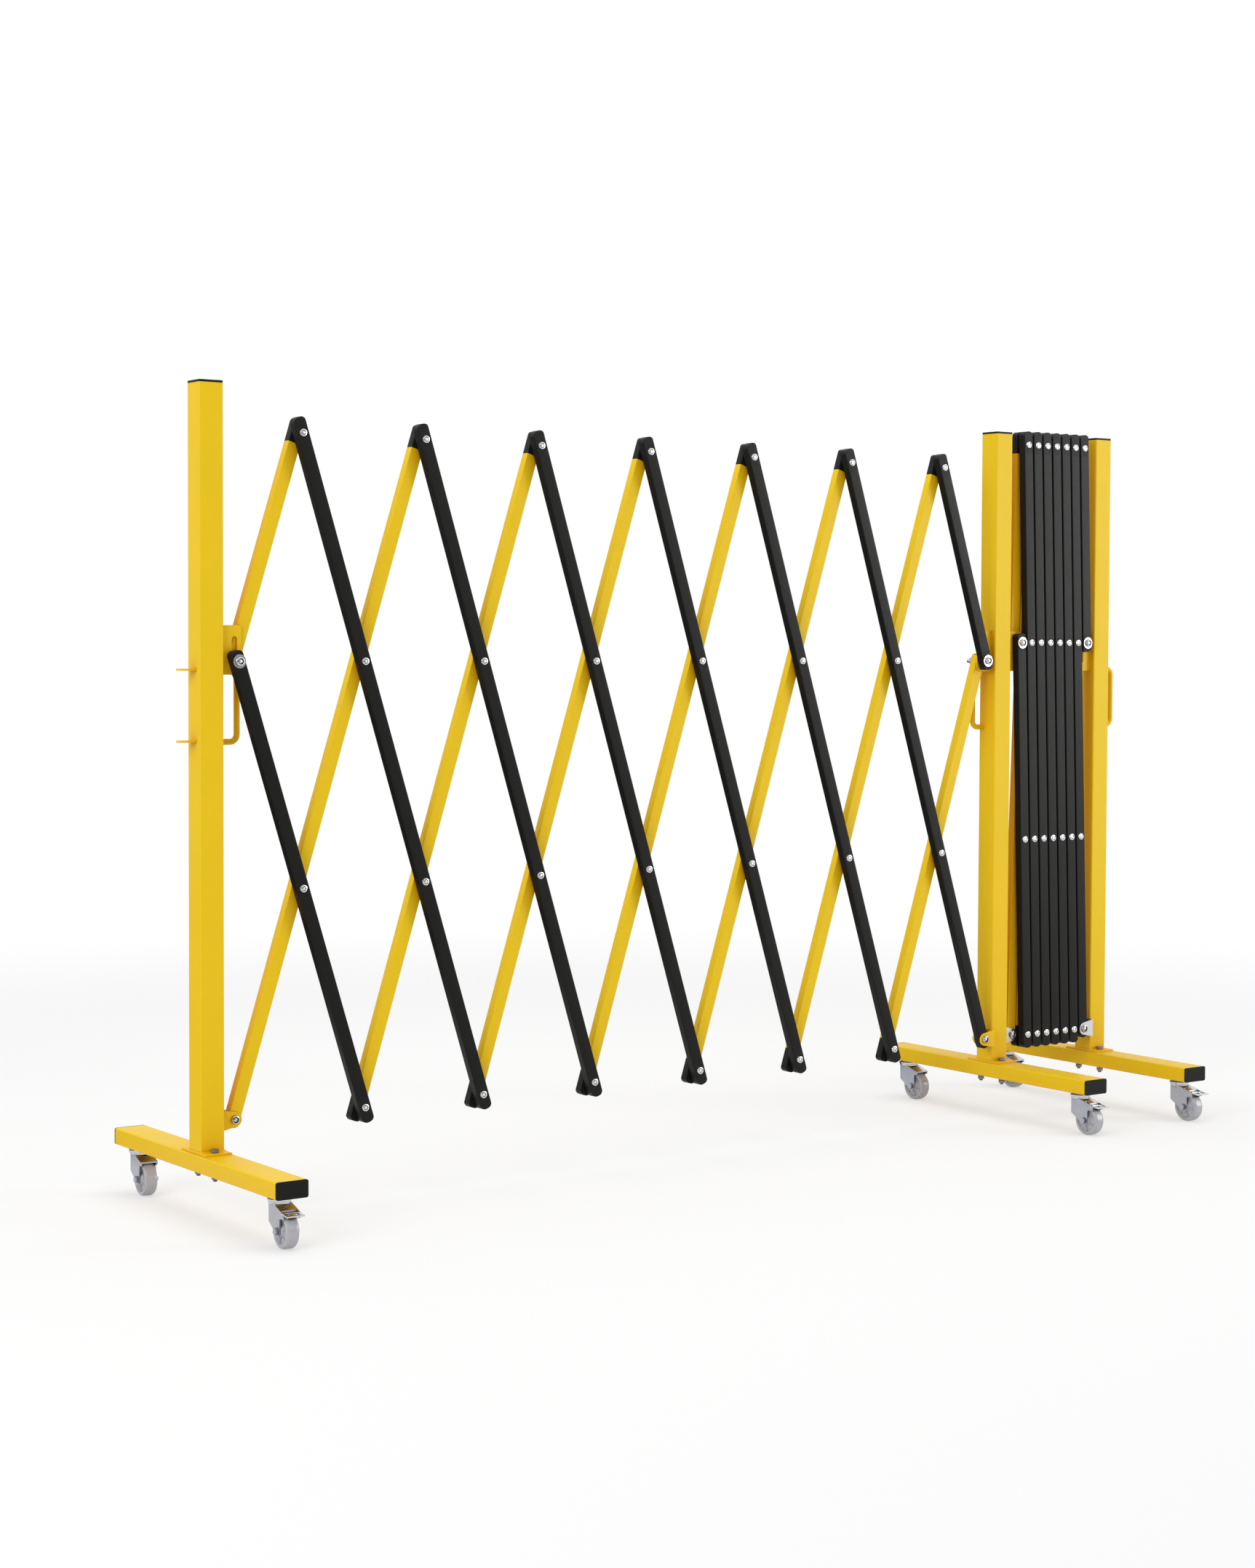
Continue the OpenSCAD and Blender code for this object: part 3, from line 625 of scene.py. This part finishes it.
def tab_beads(post):
    face = POST_X[post] - POST_HALF
    beads = []
    for leg in TAB_LEGS:
        for up in (-1, 1):
            z = leg + up * (TAB_HALF + BEAD_OFF)
            beads.append(bead([(face, POST_Y + back * TAB_SEAM_HALF, z) for back in (-1, 1)], TAB_BEAD))
    return beads


def post_welds(post):
    """The beads on one post: its flange, handle, slide brackets and joining tabs."""
    beads = [flange_bead(post)] + handle_beads(post)
    for ends in SPANS.values():
        if post in ends:
            beads += bracket_beads(post, 1 if post == ends[0] else -1)
    if post == "left":
        beads += tab_beads(post)
    return merged(beads)


for post in POSTS:
    new_piece(post + "_weld_beads", *post_welds(post), yellow_paint, post + "_stand", "yellow_paint")


# Threads and lock nuts

THREAD_SIDES = 20
# Shares of the bolt's radius
THREAD_INNER = 0.7
THREAD_GROOVE = 0.9
THREAD_CREST = 1.02


def thread(place, axis, length, radius, pitch):
    """A ridged sleeve from place along axis, a hair thicker than the bolt."""
    side = axis.orthogonal().normalized()
    other = axis.cross(side)
    steps = max(2, 2 * round(length / pitch))
    inner = radius * THREAD_INNER
    profile = [(inner, 0.0)]
    for i in range(steps + 1):
        profile.append((radius * (THREAD_CREST if i % 2 else THREAD_GROOVE), length * i / steps))
    profile.append((inner, length))
    vertices = []
    for r, along in profile:
        middle = place + axis * along
        vertices += [middle + (side * math.cos(t) + other * math.sin(t)) * r for t in turns(THREAD_SIDES)]
    return vertices, joined_rings(len(profile), THREAD_SIDES, closed=True)


NUT_SIDES = 6
NUT_CHAMFER = 0.0006
NUT_CHAMFER_SHARE = 0.9


def hex_nut(place, low, high, across):
    """An upright six-sided nut with chamfered corners, from low to high."""
    corner = across / math.sqrt(3)
    small = corner * NUT_CHAMFER_SHARE
    rings = ((small, low), (corner, low + NUT_CHAMFER), (corner, high - NUT_CHAMFER), (small, high))
    vertices = []
    for r, z in rings:
        for t in turns(NUT_SIDES):
            vertices.append(Vector((place.x + r * math.cos(t), place.y + r * math.sin(t), z)))
    faces = joined_rings(len(rings), NUT_SIDES, closed=False)
    faces.append(tuple(range(NUT_SIDES - 1, -1, -1)))
    faces.append(tuple(range((len(rings) - 1) * NUT_SIDES, len(rings) * NUT_SIDES)))
    return vertices, faces


# Under the foot: the lock nuts' ends and width, and the threads' low end, length and pitch
LOCK_NUT = (0.0597, 0.0648)
LOCK_NUT_ACROSS = 0.010
FLANGE_THREAD_LOW = 0.0569
FLANGE_THREAD = 0.008
FLANGE_PITCH = 0.001
# Behind the lattice: the slide bolts' threads
SLIDE_THREAD = 0.008
SLIDE_PITCH = 0.00125


def flange_bolts(post, z):
    """Both flange bolts' axes at a height."""
    return [Vector((POST_X[post], POST_Y + back * FLANGE_BOLT_OUT, z)) for back in (-1, 1)]


for post in POSTS:
    stand = post + "_stand"
    # Under the foot the lock nuts and threads take the darker zinc as painted shade
    nuts = [hex_nut(place, *LOCK_NUT, LOCK_NUT_ACROSS) for place in flange_bolts(post, 0.0)]
    new_piece(post + "_flange_lock_nuts", *merged(nuts), under_foot_shaded_zinc, stand, "zinc", smooth=False)
    tips = [thread(place, UP, FLANGE_THREAD, FLANGE_BOLT_R, FLANGE_PITCH)
            for place in flange_bolts(post, FLANGE_THREAD_LOW)]
    new_piece(post + "_flange_threads", *merged(tips), under_foot_shaded_zinc, stand, "zinc")
for span, ends in SPANS.items():
    for post, side, number in zip(ends, (1, -1), (1, 8)):
        place = Vector((POST_X[post] + side * (POST_HALF + PIVOT_OUT), SLIDE_NUT_BACK, SLIDE_HEIGHT[span]))
        tip = thread(place, ALONG_Y, SLIDE_THREAD, SLIDE_BOLT_R, SLIDE_PITCH)
        body = "%s_black_bar_%d" % (span, number)
        new_piece(body + "_bolt_thread", *tip, bolt_zinc, body, "zinc")


# Wheel ribs

RIBS = 6
# From the hub to the rim
RIB_IN = 0.0098
RIB_OUT = 0.0188
# Out from the wheel's middle plane, and how much further the top stands at the rim
RIB_FACE = 0.0058
RIB_TOP = 0.0082
RIB_RISE = 0.0006
RIB_HALF = 0.0009
RIB_FOOT_SHARE = 1.25
RIB_EDGE = 0.0003
# Where the first rib stands, and how far each next wheel is turned on, as shares of the step between ribs
FIRST_RIB = 0.25
WHEEL_STEP = 1 / 7
BOX_QUADS = ((0, 1, 3, 2), (4, 6, 7, 5), (0, 4, 5, 1), (2, 3, 7, 6), (0, 2, 6, 4), (1, 5, 7, 3))


def wheel_ribs(wheel, number):
    """Fins that stand in a wheel's two recesses, from its hub to its rim."""
    low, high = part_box(wheel)
    centre = Vector(((low.x + high.x) / 2, (low.y + high.y) / 2, WHEEL_R))
    castor_turn = CASTOR_TURN[wheel.split("_")[0]]
    axis = Vector((math.cos(castor_turn), math.sin(castor_turn), 0))
    across = axis.cross(UP)
    box = bmesh.new()
    for side in (-1, 1):
        for i in range(RIBS):
            turn = 2 * math.pi * (i + FIRST_RIB + number * WHEEL_STEP) / RIBS
            out = across * math.cos(turn) + UP * math.sin(turn)
            wide = axis.cross(out)
            corners = []
            for r, top in ((RIB_IN, RIB_TOP), (RIB_OUT, RIB_TOP + RIB_RISE)):
                for depth, half in ((RIB_FACE, RIB_HALF * RIB_FOOT_SHARE), (top, RIB_HALF)):
                    for w in (-1, 1):
                        corner = centre + out * r + axis * side * depth + wide * half * w
                        corners.append(box.verts.new(corner))
            for quad in BOX_QUADS:
                box.faces.new([corners[q] for q in quad])
    bmesh.ops.recalc_face_normals(box, faces=box.faces)
    bmesh.ops.bevel(box, geom=box.edges, offset=RIB_EDGE, segments=EDGE_STEPS, affect="EDGES")
    mesh = bpy.data.meshes.new(wheel + "_ribs")
    box.to_mesh(mesh)
    box.free()
    mesh.materials.append(grey_hub)
    obj = add_object(wheel + "_ribs", mesh)
    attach(obj, wheel)


for number, wheel in enumerate(sorted(name for name in NODES if name.endswith("_wheel"))):
    wheel_ribs(wheel, number)


# Floor, world and lights

# From the middle of the floor out to where it is plain white
FLOOR_NEAR = 1.6
FLOOR_FAR = 3.6
FLOOR_HALF = 14.0
FLOOR_PALE = 0.80
# Share of the seen floor's brightness that answers to light and shadow, and the part that glows evenly
FLOOR_SHARE = 0.38
FLOOR_GLOW = 0.525
WORLD_LIGHT = 0.5


def background_rays(tree):
    """1 for the rays that should meet the plain white background: camera, glossy and transmission rays."""
    path = tree.nodes.new("ShaderNodeLightPath")
    total = path.outputs["Is Camera Ray"]
    for kind in ("Is Glossy Ray", "Is Transmission Ray"):
        add = tree.nodes.new("ShaderNodeMath")
        add.operation = "MAXIMUM"
        tree.links.new(total, add.inputs[0])
        tree.links.new(path.outputs[kind], add.inputs[1])
        total = add.outputs[0]
    return total


def floor_material():
    """A floor that fades from shadowed to plain white for the background's rays, and is pale for the rest."""
    material = bpy.data.materials.new("studio_floor")
    material.use_nodes = True
    tree = material.node_tree
    tree.nodes.clear()
    link = tree.links.new
    out = tree.nodes.new("ShaderNodeOutputMaterial")
    diffuse = tree.nodes.new("ShaderNodeBsdfDiffuse")
    diffuse.inputs["Color"].default_value = grey(FLOOR_PALE)
    shown = tree.nodes.new("ShaderNodeBsdfDiffuse")
    shown.inputs["Color"].default_value = grey(FLOOR_SHARE)
    glow = tree.nodes.new("ShaderNodeEmission")
    glow.inputs["Strength"].default_value = FLOOR_GLOW
    white = tree.nodes.new("ShaderNodeEmission")
    near = tree.nodes.new("ShaderNodeAddShader")
    place = tree.nodes.new("ShaderNodeTexCoord")
    reach = tree.nodes.new("ShaderNodeVectorMath")
    reach.operation = "LENGTH"
    fade = tree.nodes.new("ShaderNodeMapRange")
    fade.interpolation_type = "SMOOTHSTEP"
    fade.inputs["From Min"].default_value = FLOOR_NEAR
    fade.inputs["From Max"].default_value = FLOOR_FAR
    seen = tree.nodes.new("ShaderNodeMixShader")
    mix = tree.nodes.new("ShaderNodeMixShader")
    link(shown.outputs[0], near.inputs[0])
    link(glow.outputs[0], near.inputs[1])
    link(place.outputs["Object"], reach.inputs[0])
    link(reach.outputs["Value"], fade.inputs["Value"])
    link(fade.outputs["Result"], seen.inputs[0])
    link(near.outputs[0], seen.inputs[1])
    link(white.outputs[0], seen.inputs[2])
    link(background_rays(tree), mix.inputs[0])
    link(diffuse.outputs[0], mix.inputs[1])
    link(seen.outputs[0], mix.inputs[2])
    link(mix.outputs[0], out.inputs["Surface"])
    return material


def add_card(name, corners, material):
    """A flat card of four corners that belongs to the studio."""
    mesh = bpy.data.meshes.new(name)
    mesh.from_pydata(corners, [], [(0, 1, 2, 3)])
    mesh.materials.append(material)
    card = add_object(name, mesh)
    return card


def floor():
    """A pale floor that keeps soft shadows near the barrier and runs into plain white further out."""
    half = FLOOR_HALF
    corners = [(-half, -half, 0), (half, -half, 0), (half, half, 0), (-half, half, 0)]
    add_card("studio_floor", corners, floor_material())


def world():
    """White where the background's rays look, and a plain soft light for the rest."""
    scene_world = bpy.data.worlds.new("studio")
    bpy.context.scene.world = scene_world
    scene_world.use_nodes = True
    tree = scene_world.node_tree
    tree.nodes.clear()
    out = tree.nodes.new("ShaderNodeOutputWorld")
    light = tree.nodes.new("ShaderNodeBackground")
    light.inputs["Strength"].default_value = WORLD_LIGHT
    seen = tree.nodes.new("ShaderNodeBackground")
    mix = tree.nodes.new("ShaderNodeMixShader")
    for background in (light, seen):
        background.inputs["Color"].default_value = grey(1.0)
    tree.links.new(background_rays(tree), mix.inputs[0])
    tree.links.new(light.outputs[0], mix.inputs[1])
    tree.links.new(seen.outputs[0], mix.inputs[2])
    tree.links.new(mix.outputs[0], out.inputs["Surface"])


def area_light(name, place, target, size, energy):
    data = bpy.data.lights.new(name, "AREA")
    data.shape = "RECTANGLE"
    data.size, data.size_y = size
    data.energy = energy
    lamp = add_object(name, data)
    lamp.location = place
    lamp.rotation_euler = (Vector(target) - Vector(place)).to_track_quat("-Z", "Y").to_euler()


FLAG_BLACK = (0.01, 0.01, 0.01)
UNSEEN_BY = ("visible_camera", "visible_diffuse", "visible_shadow", "visible_transmission")


def flag(name, corners):
    """A dark card that only polished surfaces see: it gives metal its edges, and lights or shades nothing."""
    card = add_card(name, corners, new_material(name, FLAG_BLACK, roughness=1.0, specular=0.0))
    for kind in UNSEEN_BY:
        setattr(card, kind, False)


# Dark cards behind the camera, across the front, and on the floor at the left rear
FLAGS = {
    "camera_flag": [(-8.5, -3.0, 0.0), (-1.5, -8.0, 0.0), (-1.5, -8.0, 3.2), (-8.5, -3.0, 3.2)],
    "front_flag": [(-1.5, -8.0, 0.0), (4.0, -8.0, 0.0), (4.0, -8.0, 1.6), (-1.5, -8.0, 1.6)],
    "rear_flag": [(-5.0, 0.55, 0.004), (0.9, 0.55, 0.004), (0.9, 5.5, 0.004), (-5.0, 5.5, 0.004)],
}
# Each softbox's place, the point that it faces, its width and height, and its watts
SOFTBOXES = {
    "top_softbox": ((0.2, 0.3, 4.2), (0.0, 0.0, 0.3), (4.6, 3.6), 120.0),
    "left_softbox": ((-4.6, -1.6, 2.4), (0.0, 0.0, 0.6), (3.0, 3.0), 105.0),
    "right_front_softbox": ((4.4, -3.5, 1.5), (0.6, 0.0, 0.6), (1.5, 2.4), 100.0),
}

floor()
world()
for name, corners in FLAGS.items():
    flag(name, corners)
for name, settings in SOFTBOXES.items():
    area_light(name, *settings)
bpy.context.scene.view_settings.view_transform = "Standard"
